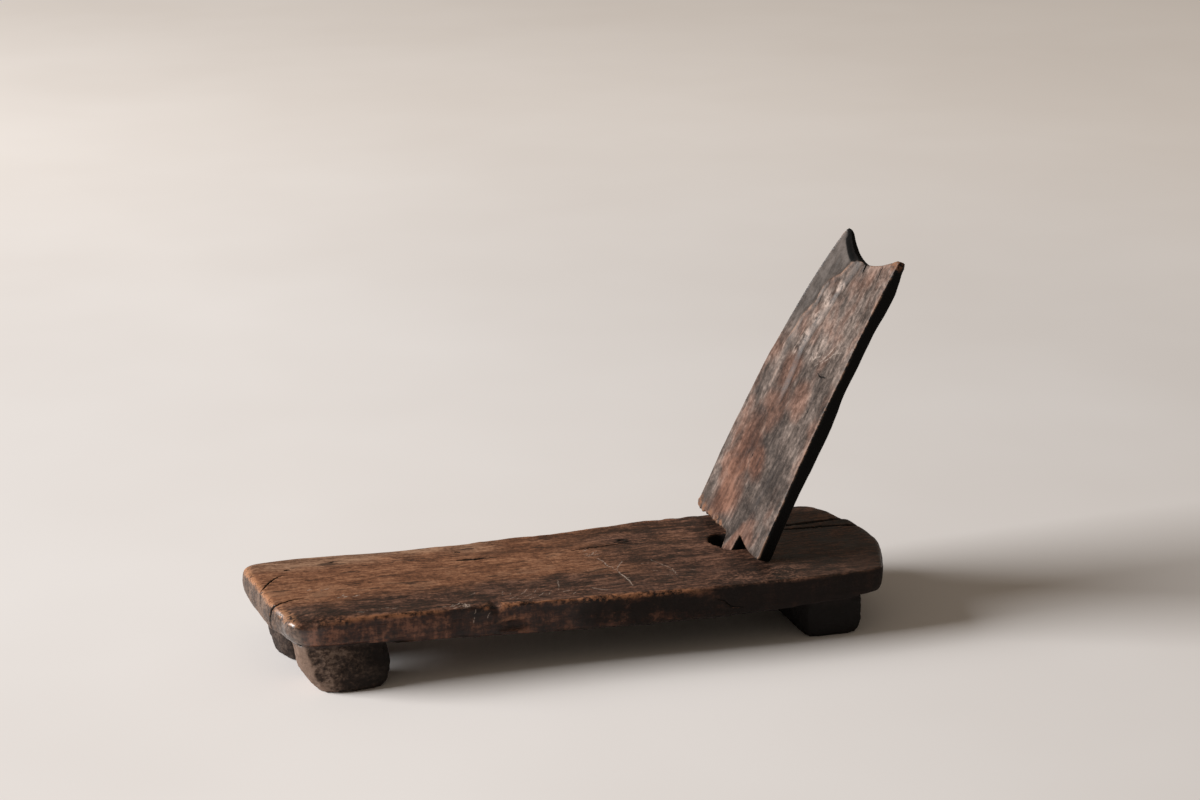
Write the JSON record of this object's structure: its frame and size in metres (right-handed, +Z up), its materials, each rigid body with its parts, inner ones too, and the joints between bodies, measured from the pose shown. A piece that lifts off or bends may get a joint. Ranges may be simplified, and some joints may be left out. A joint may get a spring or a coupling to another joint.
{
  "type": "carved wooden chair",
  "caption": "Low lounge chair of two carved planks: a long seat on feet cut from the same log, and a leaning back board whose tongue drops through a hole in the seat.",
  "frame": {"origin": "on the floor, under the middle of the chair's box", "axes": "+X along the seat from its front end towards the back board, +Y towards the sitter's right, +Z up"},
  "size_m": [0.972, 0.3308, 0.5608],
  "materials": {
    "seat_wood": "dark brown hardwood, hand worn to a dull polish, open cracks and tool marks",
    "board_wood": "grey-brown hardwood, worn smooth in front, blackened along its edges"
  },
  "bodies": {
    "seat": {"seat_plank": "seat_wood"},
    "back": {"back_board": "board_wood"}
  },
  "joints": [
    {"name": "back_lift", "type": "slide", "parent": "seat", "child": "back", "axis": [0.4443, -0.0372, 0.8951], "range_m": [0, 0.065]}
  ]
}
